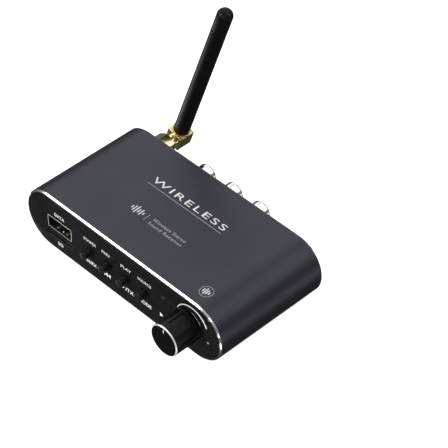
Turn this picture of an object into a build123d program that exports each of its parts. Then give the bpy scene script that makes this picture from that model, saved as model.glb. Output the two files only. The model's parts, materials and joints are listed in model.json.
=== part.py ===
"""Bluetooth audio receiver: a desktop aluminium case with a swivelling antenna.

Frame: millimetres, +Z up, +X to the right seen from the front, +Y to the back.
The origin is the bottom centre of the whole object's box, on the plane of the feet.
"""

import math
import os

from build123d import *

# ---- Driving dimensions ------------------------------------------------------------------

case_width = 104.0
case_depth = 51.2
case_height = 25.4
case_wall = 1.4
edge_chamfer = 0.7        # bright turned edge at both ends of the sleeve
panel_lip = 0.85          # sleeve wall left outside each panel
foot_height = 1.0
foot_radius = 4.0

front_panel_thick = 2.0
back_panel_thick = 1.5
panel_gap = 0.05

knob_radius = 6.6
knob_reach = 12.0         # front panel to knob face
knob_x = 35.55
knob_rise = 0.6           # knob axis above the case's middle

button_radius = 1.7
button_reach = 3.6
button_pitch = 9.8
button_first_x = -16.6
button_rise = -0.5
button_names = ["power", "previous", "play", "mode"]

board_thick = 1.2
board_top_rise = -3.5     # board top surface against the case's middle
board_half_width = 49.2

usb_x = -33.3
usb_rise = 0.36
usb_width = 13.14
usb_height = 5.72
card_rise = -5.65
card_slot_width = 12.9
card_slot_height = 1.4

rca_pitch = 14.4
rca_middle_x = -2.6
rca_radius = 4.2
rca_reach = 9.5
rca_collar_radius = 4.4   # collar in the panel's hole, under each barrel
rca_collar_proud = 0.3
rca_names = ["coaxial", "right", "left"]

aux_x = 26.0
power_x = 38.0

antenna_x = -40.8
antenna_tilt = 19.3       # degrees from upright towards +X
antenna_length = 79.0     # block centre to tip
antenna_radius = 3.2
elbow_reach = 16.5        # back panel to block centre
elbow_size = 7.3

# ---- Places worked out from the dimensions -----------------------------------------------

rear_reach = elbow_reach + elbow_size / 2
front_y = (knob_reach - case_depth - rear_reach) / 2
back_y = front_y + case_depth
mid_z = foot_height + case_height / 2
board_top = mid_z + board_top_rise
board_bottom = board_top - board_thick
panel_back = front_y + front_panel_thick      # inner face of the front panel
panel_inside = back_y - back_panel_thick      # inner face of the back panel
end_radius = case_height / 2
end_x = case_width / 2 - end_radius           # centre of each rounded end
button_xs = [button_first_x + button_pitch * i for i in range(len(button_names))]
rca_xs = [rca_middle_x + rca_pitch * (i - 1) for i in range(len(rca_names))]
sensor_x = button_xs[-1] + button_pitch
knob_z = mid_z + knob_rise
button_z = mid_z + button_rise

boss_distance = 9.4       # screw channel from the centre of its rounded end
boss_angle = 58.0
boss_radius = 2.4
pilot_radius = 1.2
boss_x = end_x + boss_distance * math.cos(math.radians(boss_angle))
boss_rise = boss_distance * math.sin(math.radians(boss_angle))
boss_spots = [(sx * boss_x, sz * boss_rise) for sx in (-1, 1) for sz in (-1, 1)]


def facing(y, x=0.0, z=mid_z):
    """Upright sketch plane that faces the front: local x is +X, local y is +Z."""
    return Plane(origin=(x, y, z), x_dir=(1, 0, 0), z_dir=(0, -1, 0))


def level(z, x=0.0, y=0.0):
    """Level sketch plane: local x is +X, local y is +Y."""
    return Plane(origin=(x, y, z), x_dir=(1, 0, 0), z_dir=(0, 0, 1))


def lathe(x, y, z=mid_z):
    """Profile plane for a turned piece along +Y: local x is +Y, local y is the radius."""
    return Plane(origin=(x, y, z), x_dir=(0, 1, 0), z_dir=(1, 0, 0))


def save(piece, name):
    """Label a finished piece and write it as its own STEP file."""
    piece.part.label = name
    export_step(piece.part, f"parts/{name}.step")


def rod(x, z, y_from, y_to, outer, inner=0.0):
    """Round bar or tube along Y."""
    with BuildPart() as piece:
        with BuildSketch(facing(y_from, x, z)):
            Circle(outer)
            if inner:
                Circle(inner, mode=Mode.SUBTRACT)
        extrude(amount=y_from - y_to)
    return piece


def block(x, y, z):
    """Square block between three (low, high) pairs."""
    with BuildPart() as piece:
        with BuildSketch(level(z[0])):
            with Locations(((x[0] + x[1]) / 2, (y[0] + y[1]) / 2)):
                Rectangle(x[1] - x[0], y[1] - y[0])
        extrude(amount=z[1] - z[0])
    return piece


os.makedirs("parts", exist_ok=True)

# ---- Case --------------------------------------------------------------------------------

rail_inner_x = 47.6
rail_outer_x = 50.3
rail_thick = 1.0
rail_gap = 0.05
rebate_width = case_width - 2 * panel_lip
rebate_height = case_height - 2 * panel_lip

with BuildPart() as case_sleeve:
    with BuildSketch(facing(front_y)):
        SlotOverall(case_width, case_height)
        SlotOverall(case_width - 2 * case_wall, case_height - 2 * case_wall, mode=Mode.SUBTRACT)
    extrude(amount=-case_depth)
    ends = case_sleeve.faces().filter_by(Plane.XZ)
    chamfer([edge for end in ends for edge in end.outer_wire().edges()], length=edge_chamfer)
    with BuildSketch(facing(panel_back)):
        rail_rises = [
            board_top_rise + rail_gap + rail_thick / 2,
            board_top_rise - board_thick - rail_gap - rail_thick / 2,
        ]
        rail_x = (rail_inner_x + rail_outer_x) / 2
        with Locations([(sx * rail_x, rise) for sx in (-1, 1) for rise in rail_rises]):
            Rectangle(rail_outer_x - rail_inner_x, rail_thick)
        with Locations(boss_spots):
            Circle(boss_radius)
            Circle(pilot_radius, mode=Mode.SUBTRACT)
    extrude(amount=panel_back - panel_inside)
    for y_start, depth in ((front_y, front_panel_thick), (panel_inside, back_panel_thick)):
        with BuildSketch(facing(y_start)):
            SlotOverall(rebate_width, rebate_height)
        extrude(amount=-depth, mode=Mode.SUBTRACT)

panel_bevel = 0.15
panel_width = rebate_width - 2 * panel_gap
panel_height = rebate_height - 2 * panel_gap
usb_hole_gap = 0.1
usb_hole_corner = 0.7
card_slot_corner = 0.3
button_hole_radius = 2.0
bushing_hole_radius = 3.6
lens_radius = 0.8
lens_rise = 4.1
lens_gap = 0.1
sensor_pocket_radius = 3.0
sensor_pocket_depth = 1.2
pin_radius = 1.15
pin_length = 4.0

with BuildPart() as front_panel:
    with BuildSketch(facing(front_y)):
        SlotOverall(panel_width, panel_height)
    extrude(amount=-front_panel_thick)
    chamfer(front_panel.faces().sort_by(Axis.Y)[0].edges(), length=panel_bevel)
    with BuildSketch(facing(front_y)):
        with Locations((usb_x, usb_rise)):
            RectangleRounded(usb_width + 2 * usb_hole_gap, usb_height + 2 * usb_hole_gap, usb_hole_corner)
        with Locations((usb_x, card_rise)):
            RectangleRounded(card_slot_width, card_slot_height, card_slot_corner)
        with Locations([(x, button_rise) for x in button_xs]):
            Circle(button_hole_radius)
        with Locations((knob_x, knob_rise)):
            Circle(bushing_hole_radius)
        with Locations((sensor_x, lens_rise)):
            Circle(lens_radius + lens_gap)
    extrude(amount=-front_panel_thick, mode=Mode.SUBTRACT)
    with BuildSketch(facing(panel_back)):
        with Locations((sensor_x, button_rise)):
            Circle(sensor_pocket_radius)
    extrude(amount=sensor_pocket_depth, mode=Mode.SUBTRACT)
    with BuildSketch(facing(panel_back)):
        with Locations(boss_spots):
            Circle(pin_radius)
    extrude(amount=-pin_length)

antenna_hole_radius = 3.2
rca_hole_radius = rca_radius + 0.3
nose_radius = 2.9
nose_hole_radius = nose_radius + 0.15
screw_radius = 1.15
screw_hole_radius = 1.35

with BuildPart() as back_panel:
    with BuildSketch(facing(panel_inside)):
        SlotOverall(panel_width, panel_height)
    extrude(amount=-back_panel_thick)
    chamfer(back_panel.faces().sort_by(Axis.Y)[-1].edges(), length=panel_bevel)
    with BuildSketch(facing(panel_inside)):
        with Locations([(x, 0) for x in rca_xs]):
            Circle(rca_hole_radius)
        with Locations((aux_x, 0), (power_x, 0)):
            Circle(nose_hole_radius)
        with Locations((antenna_x, 0)):
            Circle(antenna_hole_radius)
        with Locations(boss_spots):
            Circle(screw_hole_radius)
    extrude(amount=-back_panel_thick, mode=Mode.SUBTRACT)

screw_head_radius = 2.1
screw_head_height = 1.2
screw_head_round = 0.5
screw_length = 8.0
cross_length = 2.4
cross_width = 0.5
cross_depth = 0.7

with BuildPart() as back_panel_screws:
    with BuildSketch(facing(back_y)):
        with Locations(boss_spots):
            Circle(screw_head_radius)
    extrude(amount=-screw_head_height)
    fillet(back_panel_screws.faces().sort_by(Axis.Y)[-4:].edges(), radius=screw_head_round)
    with BuildSketch(facing(back_y)):
        with Locations(boss_spots):
            Circle(screw_radius)
    extrude(amount=screw_length)
    with BuildSketch(facing(back_y + screw_head_height)):
        with Locations(boss_spots):
            Rectangle(cross_length, cross_width)
            Rectangle(cross_width, cross_length)
    extrude(amount=cross_depth, mode=Mode.SUBTRACT)

foot_x = 34.0
foot_inset = 10.0
foot_chamfer = 0.25
foot_spots = [(sx * foot_x, y) for sx in (-1, 1) for y in (front_y + foot_inset, back_y - foot_inset)]

with BuildPart() as rubber_feet:
    with BuildSketch(level(0)):
        with Locations(foot_spots):
            Circle(foot_radius)
    extrude(amount=foot_height)
    chamfer(rubber_feet.faces().sort_by(Axis.Z)[:4].edges(), length=foot_chamfer)

save(case_sleeve, "case_sleeve")
save(front_panel, "front_panel")
save(back_panel, "back_panel")
save(back_panel_screws, "back_panel_screws")
save(rubber_feet, "rubber_feet")

# ---- Circuit board -----------------------------------------------------------------------

board_end_gap = 0.2
board_front = panel_back + board_end_gap
board_back = panel_inside - board_end_gap
pot_half_width = 4.9
pot_front = front_y + 3.0
pot_back = pot_front + 5.2
rca_block_half = rca_pitch + 6.6
rca_block_front = panel_inside - 10.2
antenna_notch_half = 5.4
antenna_notch_front = panel_inside - 7.5
notch_gap = 0.3

with BuildPart() as main_board:
    with BuildSketch(level(board_bottom)):
        with Locations((0, (board_front + board_back) / 2)):
            Rectangle(2 * board_half_width, board_back - board_front)
        for x, half, y_low, y_high in (
            (knob_x, pot_half_width + notch_gap, board_front, pot_back + notch_gap),
            (rca_middle_x, rca_block_half + notch_gap, rca_block_front - notch_gap, board_back),
            (antenna_x, antenna_notch_half, antenna_notch_front, board_back),
        ):
            with Locations((x, (y_low + y_high) / 2)):
                Rectangle(2 * half, y_high - y_low, mode=Mode.SUBTRACT)
    extrude(amount=board_thick)

save(main_board, "main_board")


def save_block(name, x_middle, y_low, width, depth, height):
    """Square component standing on the board's top face."""
    piece = block(
        (x_middle - width / 2, x_middle + width / 2),
        (y_low, y_low + depth),
        (board_top, board_top + height),
    )
    save(piece, name)


module_x = -40.0
module_y = front_y + 18.0
module_width = 13.0
module_length = 18.0
module_board_thick = 0.8
save_block("radio_module", module_x, module_y, module_width, module_length, module_board_thick)

can_wall = 0.2
can_width = 11.6
can_length = 13.0
can_height = 2.0
can_corner = 0.4
can_setback = 7.2         # module's front edge to the can's middle
can_low = board_top + module_board_thick
with BuildPart() as module_shield:
    with BuildSketch(level(can_low)):
        with Locations((module_x, module_y + can_setback)):
            RectangleRounded(can_width, can_length, can_corner)
    extrude(amount=can_height)
    offset(amount=-can_wall, openings=module_shield.faces().sort_by(Axis.Z)[0])
save(module_shield, "module_shield")

chip_height = 1.4
chips = {                 # middle x, distance behind the front, width, depth
    "decoder_chip": (-16.0, 17.0, 9.0, 9.0),
    "converter_chip": (4.0, 18.0, 6.0, 8.0),
}
for name, (chip_x, setback, width, depth) in chips.items():
    save_block(name, chip_x, front_y + setback, width, depth, chip_height)

capacitor_radius = 2.5
capacitor_height = 6.5
capacitor_base = 0.6
capacitor_base_side = 2 * capacitor_radius + 0.4
capacitor_round = 0.4
capacitor_spots = [(x, front_y + y) for x in (20.0, 28.0) for y in (20.0, 28.0)]
with BuildPart() as capacitors:
    with BuildSketch(level(board_top)):
        with Locations(capacitor_spots):
            Rectangle(capacitor_base_side, capacitor_base_side)
    extrude(amount=capacitor_base)
    with BuildSketch(level(board_top + capacitor_base)):
        with Locations(capacitor_spots):
            Circle(capacitor_radius)
    extrude(amount=capacitor_height - capacitor_base)
    fillet(capacitors.faces().sort_by(Axis.Z)[-4:].edges(), radius=capacitor_round)
save(capacitors, "capacitors")

# ---- Front sockets -----------------------------------------------------------------------

usb_z = mid_z + usb_rise
usb_wall = 0.3
usb_corner = 0.6
usb_leg_places = (5.0, 12.0)                  # behind the mouth
usb_leg_width = 1.6
usb_leg_overlap = 0.4
usb_front = front_y - 0.1
usb_depth = 14.0

with BuildPart() as usb_shell:
    with BuildSketch(facing(usb_front, usb_x, usb_z)):
        RectangleRounded(usb_width, usb_height, usb_corner)
        RectangleRounded(
            usb_width - 2 * usb_wall, usb_height - 2 * usb_wall, usb_corner - usb_wall, mode=Mode.SUBTRACT
        )
    extrude(amount=-usb_depth)
    leg_drop = usb_z - usb_height / 2 + usb_wall - board_top
    with BuildSketch(level(board_top)):
        spread = usb_width / 2 - usb_wall / 2
        with Locations([(usb_x + side * spread, usb_front + y) for side in (-1, 1) for y in usb_leg_places]):
            Rectangle(usb_wall, usb_leg_width)
    extrude(amount=leg_drop + usb_leg_overlap)

tongue_thick = 1.84
tongue_width = 11.1
tongue_setback = 1.2
tongue_root = 9.8         # from the mouth to the moulding that carries the tongue
tongue_overlap = 0.1
tongue_gap = 0.55         # over the tongue
insert_gap = 0.05
insert_corner = 0.4
tongue_top = usb_z + usb_height / 2 - usb_wall - tongue_gap
with BuildPart() as usb_tongue:
    inner_width = usb_width - 2 * (usb_wall + insert_gap)
    inner_height = usb_height - 2 * (usb_wall + insert_gap)
    with BuildSketch(facing(usb_front + tongue_root, usb_x, usb_z)):
        RectangleRounded(inner_width, inner_height, insert_corner)
    extrude(amount=tongue_root - usb_depth)
    with BuildSketch(facing(usb_front + tongue_setback, usb_x, tongue_top - tongue_thick / 2)):
        Rectangle(tongue_width, tongue_thick)
    extrude(amount=tongue_setback - tongue_root - tongue_overlap)

contact_pitch = 2.2
contact_width = 1.1
contact_drop = 0.25
contact_count = 4
contact_setback = 2.0
contact_end = tongue_root - 0.05
with BuildPart() as usb_contacts:
    contact_z = tongue_top - tongue_thick - contact_drop / 2
    with BuildSketch(facing(usb_front + contact_setback, usb_x, contact_z)):
        with Locations([((i - (contact_count - 1) / 2) * contact_pitch, 0) for i in range(contact_count)]):
            Rectangle(contact_width, contact_drop)
    extrude(amount=contact_setback - contact_end)

card_front = panel_back + 0.1
card_depth = 14.5
card_width = 14.2
card_floor = board_bottom - 1.95
card_sheet = 0.25
card_open_top = board_bottom + 0.05           # the cover is open towards the board
with BuildPart() as card_cover:
    with BuildSketch(facing(card_front, usb_x, 0)):
        with Locations((0, (board_bottom + card_floor) / 2)):
            Rectangle(card_width, board_bottom - card_floor)
        with Locations((0, (card_open_top + card_floor + card_sheet) / 2)):
            inside = card_open_top - card_floor - card_sheet
            Rectangle(card_width - 2 * card_sheet, inside, mode=Mode.SUBTRACT)
    extrude(amount=-card_depth)

base_gap = 0.2
base_width = card_width - 2 * card_sheet - 0.1
base_thick = 0.45
base_top = board_bottom - 0.025
stop_setback = 11.5
stop_height = 1.5
with BuildPart() as card_base:
    with BuildSketch(facing(card_front + base_gap, usb_x, 0)):
        with Locations((0, base_top - base_thick / 2)):
            Rectangle(base_width, base_thick)
    extrude(amount=2 * base_gap - card_depth)
    with BuildSketch(facing(card_front + stop_setback, usb_x, 0)):
        with Locations((0, card_floor + card_sheet + stop_height / 2)):
            Rectangle(base_width, stop_height)
    extrude(amount=stop_setback + base_gap - card_depth)

save(usb_shell, "usb_shell")
save(usb_tongue, "usb_tongue")
save(usb_contacts, "usb_contacts")
save(card_cover, "card_cover")
save(card_base, "card_base")

# ---- Push switches -----------------------------------------------------------------------

switch_size = 6.0
switch_front = front_y + 3.0
switch_wall = 0.6
switch_back_wall = 0.9
switch_depth = 3.5
chamber_radius = 2.6
plunger_clearance = 0.05
flange_radius = 2.3
flange_thick = 0.8
bracket_thick = 0.3
bracket_setback = 0.2
bracket_height = switch_size - 0.5
plunger_play = 0.02
plunger_round = 0.35
switch_back = switch_front + switch_depth


def switch_housing(x):
    """Square switch case with a round chamber for the plunger's flange."""
    with BuildPart() as piece:
        with BuildSketch(facing(switch_front, x, button_z)):
            Rectangle(switch_size, switch_size)
        extrude(amount=-switch_depth)
        with BuildSketch(facing(switch_front, x, button_z)):
            Circle(button_radius + plunger_clearance)
        extrude(amount=-switch_wall, mode=Mode.SUBTRACT)
        with BuildSketch(facing(switch_front + switch_wall, x, button_z)):
            Circle(chamber_radius)
        extrude(amount=-(switch_depth - switch_wall - switch_back_wall), mode=Mode.SUBTRACT)
    return piece


def switch_bracket(x):
    """Folded sheet that hugs the back and sides of the switch case."""
    low = button_z - switch_size / 2
    with BuildPart() as piece:
        with BuildSketch(level(low)):
            with Locations((x, (switch_front + bracket_setback + switch_back + bracket_thick) / 2)):
                Rectangle(switch_size + 2 * bracket_thick, switch_depth + bracket_thick - bracket_setback)
            with Locations((x, (switch_front + switch_back) / 2)):
                Rectangle(switch_size, switch_depth, mode=Mode.SUBTRACT)
        extrude(amount=bracket_height)
    return piece


def switch_plunger(x):
    """Round button with a domed face, and the flange that holds it in the switch."""
    shoulder = switch_front + switch_wall + plunger_play
    with BuildPart() as piece:
        with BuildSketch(facing(front_y - button_reach, x, button_z)):
            Circle(button_radius)
        extrude(amount=-(shoulder + flange_thick - front_y + button_reach))
        with BuildSketch(facing(shoulder, x, button_z)):
            Circle(flange_radius)
        extrude(amount=-flange_thick)
        front_edges = piece.faces().sort_by(Axis.Y)[0].edges()
        fillet(front_edges, radius=plunger_round)
    return piece


for name, x in zip(button_names, button_xs):
    save(switch_housing(x), f"{name}_switch")
    save(switch_bracket(x), f"{name}_switch_bracket")
    save(switch_plunger(x), f"{name}_button")

# ---- Remote sensor and status light ------------------------------------------------------

sensor_front = panel_back + 1.2
sensor_width = 6.0
sensor_depth = 4.4
sensor_height = 5.6
dome_radius = 2.2
dome_depth = 1.0
dome_round = 0.9
with BuildPart() as remote_sensor:
    with BuildSketch(level(board_top)):
        with Locations((sensor_x, sensor_front + sensor_depth / 2)):
            Rectangle(sensor_width, sensor_depth)
    extrude(amount=sensor_height)
    with BuildSketch(facing(sensor_front, sensor_x, button_z)):
        Circle(dome_radius)
    extrude(amount=dome_depth)
    fillet(remote_sensor.faces().sort_by(Axis.Y)[0].edges(), radius=dome_round)
save(remote_sensor, "remote_sensor")

lens_z = mid_z + lens_rise
lens_back = front_y + 6.0
lens_flange_thick = 0.8
lens_flange_radius = lens_radius + 0.3
with BuildPart() as status_light:
    with BuildSketch(facing(front_y, sensor_x, lens_z)):
        Circle(lens_radius)
    extrude(amount=front_y - lens_back)
    with BuildSketch(facing(lens_back - lens_flange_thick, sensor_x, lens_z)):
        Circle(lens_flange_radius)
    extrude(amount=-lens_flange_thick)
save(status_light, "status_light")

lead_size = 0.4
lead_half_spread = 0.6
lead_drop_y = lens_back + 3.0
lead_xs = [sensor_x - lead_half_spread, sensor_x + lead_half_spread]
with BuildPart() as status_light_leads:
    with BuildSketch(level(lens_z - lead_size / 2)):
        with Locations([(x, (lens_back + lead_drop_y) / 2) for x in lead_xs]):
            Rectangle(lead_size, lead_drop_y - lens_back)
    extrude(amount=lead_size)
    with BuildSketch(level(board_top)):
        with Locations([(x, lead_drop_y - lead_size / 2) for x in lead_xs]):
            Rectangle(lead_size, lead_size)
    extrude(amount=lens_z - board_top)
save(status_light_leads, "status_light_leads")

# ---- Volume control ----------------------------------------------------------------------

shaft_radius = 3.0
shaft_clearance = 0.05
bushing_radius = 3.5
bushing_front = front_y - 1.9
pot_half_height = 5.2
pot_corner = 0.8
pot_chamber_radius = 4.3
chamber_front = pot_front + 1.0
chamber_back = pot_back - 0.6

with BuildPart() as volume_pot:
    with BuildSketch(facing(pot_front, knob_x, knob_z)):
        RectangleRounded(2 * pot_half_width, 2 * pot_half_height, pot_corner)
    extrude(amount=pot_front - pot_back)
    with BuildSketch(facing(bushing_front, knob_x, knob_z)):
        Circle(bushing_radius)
    extrude(amount=bushing_front - pot_front)
    with BuildSketch(facing(bushing_front, knob_x, knob_z)):
        Circle(shaft_radius + shaft_clearance)
    extrude(amount=bushing_front - chamber_front, mode=Mode.SUBTRACT)
    with BuildSketch(facing(chamber_front, knob_x, knob_z)):
        Circle(pot_chamber_radius)
    extrude(amount=chamber_front - chamber_back, mode=Mode.SUBTRACT)

nut_across = 8.0
nut_thick = 1.4
nut_gap = 0.03
with BuildPart() as volume_nut:
    with BuildSketch(facing(front_y - nut_thick, knob_x, knob_z)):
        RegularPolygon(nut_across / 2, 6, major_radius=False)
        Circle(bushing_radius + nut_gap, mode=Mode.SUBTRACT)
    extrude(amount=-nut_thick)

knob_front = front_y - knob_reach
knob_back = front_y - 0.5
knob_length = knob_back - knob_front
bright_edge = 0.55
knob_back_chamfer = 0.3
front_collar = 2.8
flute_length = 7.4
flute_count = 10
flute_turn = 5.0          # first flute, clockwise from the pointer line
flute_depth = 0.45
flute_width = 2.6
nut_recess_radius = 5.0
nut_recess_depth = 1.9
shaft_front = knob_front + 1.6
shaft_fit = 0.02
shaft_chamfer = 0.4
pointer_drop = 1.3        # bright edge to the middle of the pointer line
pointer_width = 0.5
pointer_length = 2.2
pointer_depth = 0.15

with BuildPart() as volume_knob:
    with BuildSketch(facing(knob_front, knob_x, knob_z)):
        Circle(knob_radius)
    extrude(amount=-knob_length)
    chamfer(volume_knob.faces().sort_by(Axis.Y)[0].edges(), length=bright_edge)
    chamfer(volume_knob.faces().sort_by(Axis.Y)[-1].edges(), length=knob_back_chamfer)
    with BuildSketch(facing(knob_back, knob_x, knob_z)):
        Circle(nut_recess_radius)
    extrude(amount=nut_recess_depth, mode=Mode.SUBTRACT)
    with BuildSketch(facing(knob_back, knob_x, knob_z)):
        Circle(shaft_radius + shaft_fit)
    extrude(amount=knob_back - shaft_front, mode=Mode.SUBTRACT)
    with BuildSketch(facing(knob_front + front_collar, knob_x, knob_z)):
        with PolarLocations(knob_radius, flute_count, start_angle=90 - flute_turn):
            Rectangle(2 * flute_depth, flute_width)
    extrude(amount=-flute_length, mode=Mode.SUBTRACT)
    with BuildSketch(facing(knob_front, knob_x, knob_z)):
        with Locations((0, knob_radius - bright_edge - pointer_drop)):
            Rectangle(pointer_width, pointer_length)
    extrude(amount=-pointer_depth, mode=Mode.SUBTRACT)

wiper_radius = 4.0
wiper_front = chamber_front + 0.3
wiper_thick = 1.2
with BuildPart() as volume_shaft:
    with BuildSketch(facing(shaft_front + shaft_fit, knob_x, knob_z)):
        Circle(shaft_radius)
    extrude(amount=shaft_front + shaft_fit - wiper_front)
    chamfer(volume_shaft.faces().sort_by(Axis.Y)[0].edges(), length=shaft_chamfer)

save(volume_pot, "volume_pot")
save(volume_nut, "volume_nut")
save(volume_knob, "volume_knob")
save(volume_shaft, "volume_shaft")
save(rod(knob_x, knob_z, wiper_front, wiper_front + wiper_thick, wiper_radius), "volume_wiper")

# ---- Rear audio jacks --------------------------------------------------------------------

rca_block_back = panel_inside - 0.1
rca_flange_radius = 4.7
rca_flange_thick = 1.4
rca_flange_front = rca_block_back - 1.5
rca_tip = back_y + rca_reach
rca_wall = 0.35
rca_fit = 0.05
rca_lip_width = 0.35      # lip folded over the insulator
rca_lip_thick = 0.3
rca_tip_round = 0.6
rca_block_height = 11.0
rca_pocket_play = 0.02
rca_socket_depth = 5.0    # insulator's seat in the block
insulator_radius = rca_radius - rca_wall - rca_fit
rca_contact_radius = 1.9
rca_bore_radius = 1.65
insulator_tip = rca_tip - 0.5
insulator_start = rca_block_back - rca_socket_depth + 0.1
contact_tip = insulator_tip - 0.6

with BuildPart() as rca_block:
    with BuildSketch(facing(rca_block_front, rca_middle_x)):
        Rectangle(2 * rca_block_half, rca_block_height)
    extrude(amount=rca_block_front - rca_block_back)
    with BuildSketch(facing(rca_block_back, rca_middle_x)):
        with Locations([(x - rca_middle_x, 0) for x in rca_xs]):
            Circle(rca_flange_radius + rca_fit)
    extrude(amount=rca_block_back - rca_flange_front + rca_pocket_play, mode=Mode.SUBTRACT)
    with BuildSketch(facing(rca_block_back, rca_middle_x)):
        with Locations([(x - rca_middle_x, 0) for x in rca_xs]):
            Circle(insulator_radius + rca_fit)
    extrude(amount=rca_socket_depth, mode=Mode.SUBTRACT)
save(rca_block, "rca_block")


def rca_shell(x):
    """Turned barrel with a seating flange, a collar and a rounded lip folded over the insulator."""
    collar_end = back_y + rca_collar_proud - rca_flange_front
    tip = rca_tip - rca_flange_front
    inner = insulator_radius + rca_fit
    lip = insulator_radius - rca_lip_width
    with BuildPart() as piece:
        with BuildSketch(lathe(x, rca_flange_front)):
            with BuildLine():
                Polyline(
                    (0, inner),
                    (0, rca_flange_radius),
                    (rca_flange_thick, rca_flange_radius),
                    (rca_flange_thick, rca_collar_radius),
                    (collar_end, rca_collar_radius),
                    (collar_end, rca_radius),
                    (tip, rca_radius),
                    (tip, lip),
                    (tip - rca_lip_thick, lip),
                    (tip - rca_lip_thick, inner),
                    close=True,
                )
            make_face()
        revolve(axis=Axis((x, rca_flange_front, mid_z), (0, 1, 0)))
        tip_edges = piece.edges().filter_by(GeomType.CIRCLE).group_by(Axis.Y)[-1]
        fillet(tip_edges.sort_by(SortBy.RADIUS)[-1], radius=rca_tip_round)
    return piece


for name, x in zip(rca_names, rca_xs):
    save(rca_shell(x), f"rca_{name}_shell")
    insulator_bore = rca_contact_radius + rca_fit
    insulator = rod(x, mid_z, insulator_start, insulator_tip, insulator_radius, insulator_bore)
    save(insulator, f"rca_{name}_insulator")
    contact = rod(x, mid_z, insulator_start, contact_tip, rca_contact_radius, rca_bore_radius)
    save(contact, f"rca_{name}_contact")

# ---- Rear line jack and power inlet ------------------------------------------------------

jack_half_width = 3.4
jack_depth = 12.0
jack_back = panel_inside - 0.1
nose_proud = 0.5
nose_round = 0.3


def panel_jack(x, bore_radius, bore_depth):
    """Moulded jack body standing on the board, with a round nose through the back panel."""
    with BuildPart() as piece:
        with BuildSketch(facing(jack_back - jack_depth, x)):
            Rectangle(2 * jack_half_width, -2 * board_top_rise)
        extrude(amount=-jack_depth)
        with BuildSketch(facing(jack_back, x)):
            Circle(nose_radius)
        extrude(amount=jack_back - back_y - nose_proud)
        fillet(piece.faces().sort_by(Axis.Y)[-1].edges(), radius=nose_round)
        with BuildSketch(facing(back_y + nose_proud, x)):
            Circle(bore_radius)
        extrude(amount=bore_depth, mode=Mode.SUBTRACT)
    return piece


line_bore_radius = 1.8
line_bore_depth = 13.0
power_bore_radius = 1.9
power_bore_depth = 9.5
power_pin_radius = 0.65
power_pin_round = 0.3
power_pin_short = 1.0     # pin ends this far inside the mouth
save(panel_jack(aux_x, line_bore_radius, line_bore_depth), "line_jack")
save(panel_jack(power_x, power_bore_radius, power_bore_depth), "power_jack")
power_pin_start = back_y + nose_proud - power_bore_depth
with BuildPart() as power_pin:
    with BuildSketch(facing(power_pin_start, power_x)):
        Circle(power_pin_radius)
    extrude(amount=power_pin_short - power_bore_depth)
    fillet(power_pin.faces().sort_by(Axis.Y)[-1].edges(), radius=power_pin_round)
save(power_pin, "power_pin")

# ---- Antenna socket ----------------------------------------------------------------------

thread_radius = 3.1
hex_half = 4.0            # half the distance across the flats of all three hexagons
socket_chamfer = 0.3
socket_bore_radius = 2.3
socket_bore_depth = 2.5
crimp_radius = 1.6
crimp_length = 3.0
socket_tip = back_y + 9.2
flange_front = panel_inside - 2.2
with BuildPart() as antenna_socket:
    with BuildSketch(facing(flange_front, antenna_x)):
        RegularPolygon(hex_half, 6, major_radius=False)
    extrude(amount=flange_front - panel_inside)
    with BuildSketch(facing(panel_inside, antenna_x)):
        Circle(thread_radius)
    extrude(amount=panel_inside - socket_tip)
    chamfer(antenna_socket.faces().sort_by(Axis.Y)[-1].edges(), length=socket_chamfer)
    with BuildSketch(facing(flange_front - crimp_length, antenna_x)):
        Circle(crimp_radius)
    extrude(amount=-crimp_length)
    with BuildSketch(facing(socket_tip, antenna_x)):
        Circle(socket_bore_radius)
    extrude(amount=socket_bore_depth, mode=Mode.SUBTRACT)
save(antenna_socket, "antenna_socket")

washer_thick = 0.6
washer_radius = 4.7
washer_gap = 0.1
socket_nut_gap = 0.05
socket_nut_thick = 2.0
washer = rod(antenna_x, mid_z, back_y, back_y + washer_thick, washer_radius, thread_radius + washer_gap)
save(washer, "socket_washer")
with BuildPart() as socket_nut:
    with BuildSketch(facing(back_y + washer_thick, antenna_x)):
        RegularPolygon(hex_half, 6, major_radius=False)
        Circle(thread_radius + socket_nut_gap, mode=Mode.SUBTRACT)
    extrude(amount=-socket_nut_thick)
save(socket_nut, "socket_nut")

# ---- Coupling nut and swivelling antenna -------------------------------------------------

nut_start = back_y + 3.4
nut_end = back_y + 10.4
nut_lip = 0.7
neck_radius = 2.4
neck_flange_radius = 3.0
coupling_clearance = 0.07
nut_front_rim = 4.35      # the corners are turned back to these radii at the ends
nut_back_rim = 4.1
nut_front_cone = 0.3
nut_back_cone = 0.5
nut_outside = 5.0         # clear of the hexagon's corners
nut_turn = 26.0           # degrees: brings one corner of the hexagon almost straight up

with BuildPart() as coupling_nut:
    with BuildSketch(facing(nut_start, antenna_x)):
        RegularPolygon(hex_half, 6, major_radius=False, rotation=nut_turn)
    extrude(amount=nut_start - nut_end)
    with BuildSketch(lathe(antenna_x, nut_start)):
        with BuildLine():
            Polyline(
                (0, 0),
                (0, nut_front_rim),
                (nut_front_cone, nut_outside),
                (nut_end - nut_start - nut_back_cone, nut_outside),
                (nut_end - nut_start, nut_back_rim),
                (nut_end - nut_start, 0),
                close=True,
            )
        make_face()
    revolve(axis=Axis((antenna_x, nut_start, mid_z), (0, 1, 0)), mode=Mode.INTERSECT)
    with BuildSketch(facing(nut_start, antenna_x)):
        Circle(thread_radius + coupling_clearance)
    extrude(amount=nut_start - nut_end + nut_lip, mode=Mode.SUBTRACT)
    with BuildSketch(facing(nut_start, antenna_x)):
        Circle(neck_radius + coupling_clearance)
    extrude(amount=nut_start - nut_end, mode=Mode.SUBTRACT)
save(coupling_nut, "coupling_nut")

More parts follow.
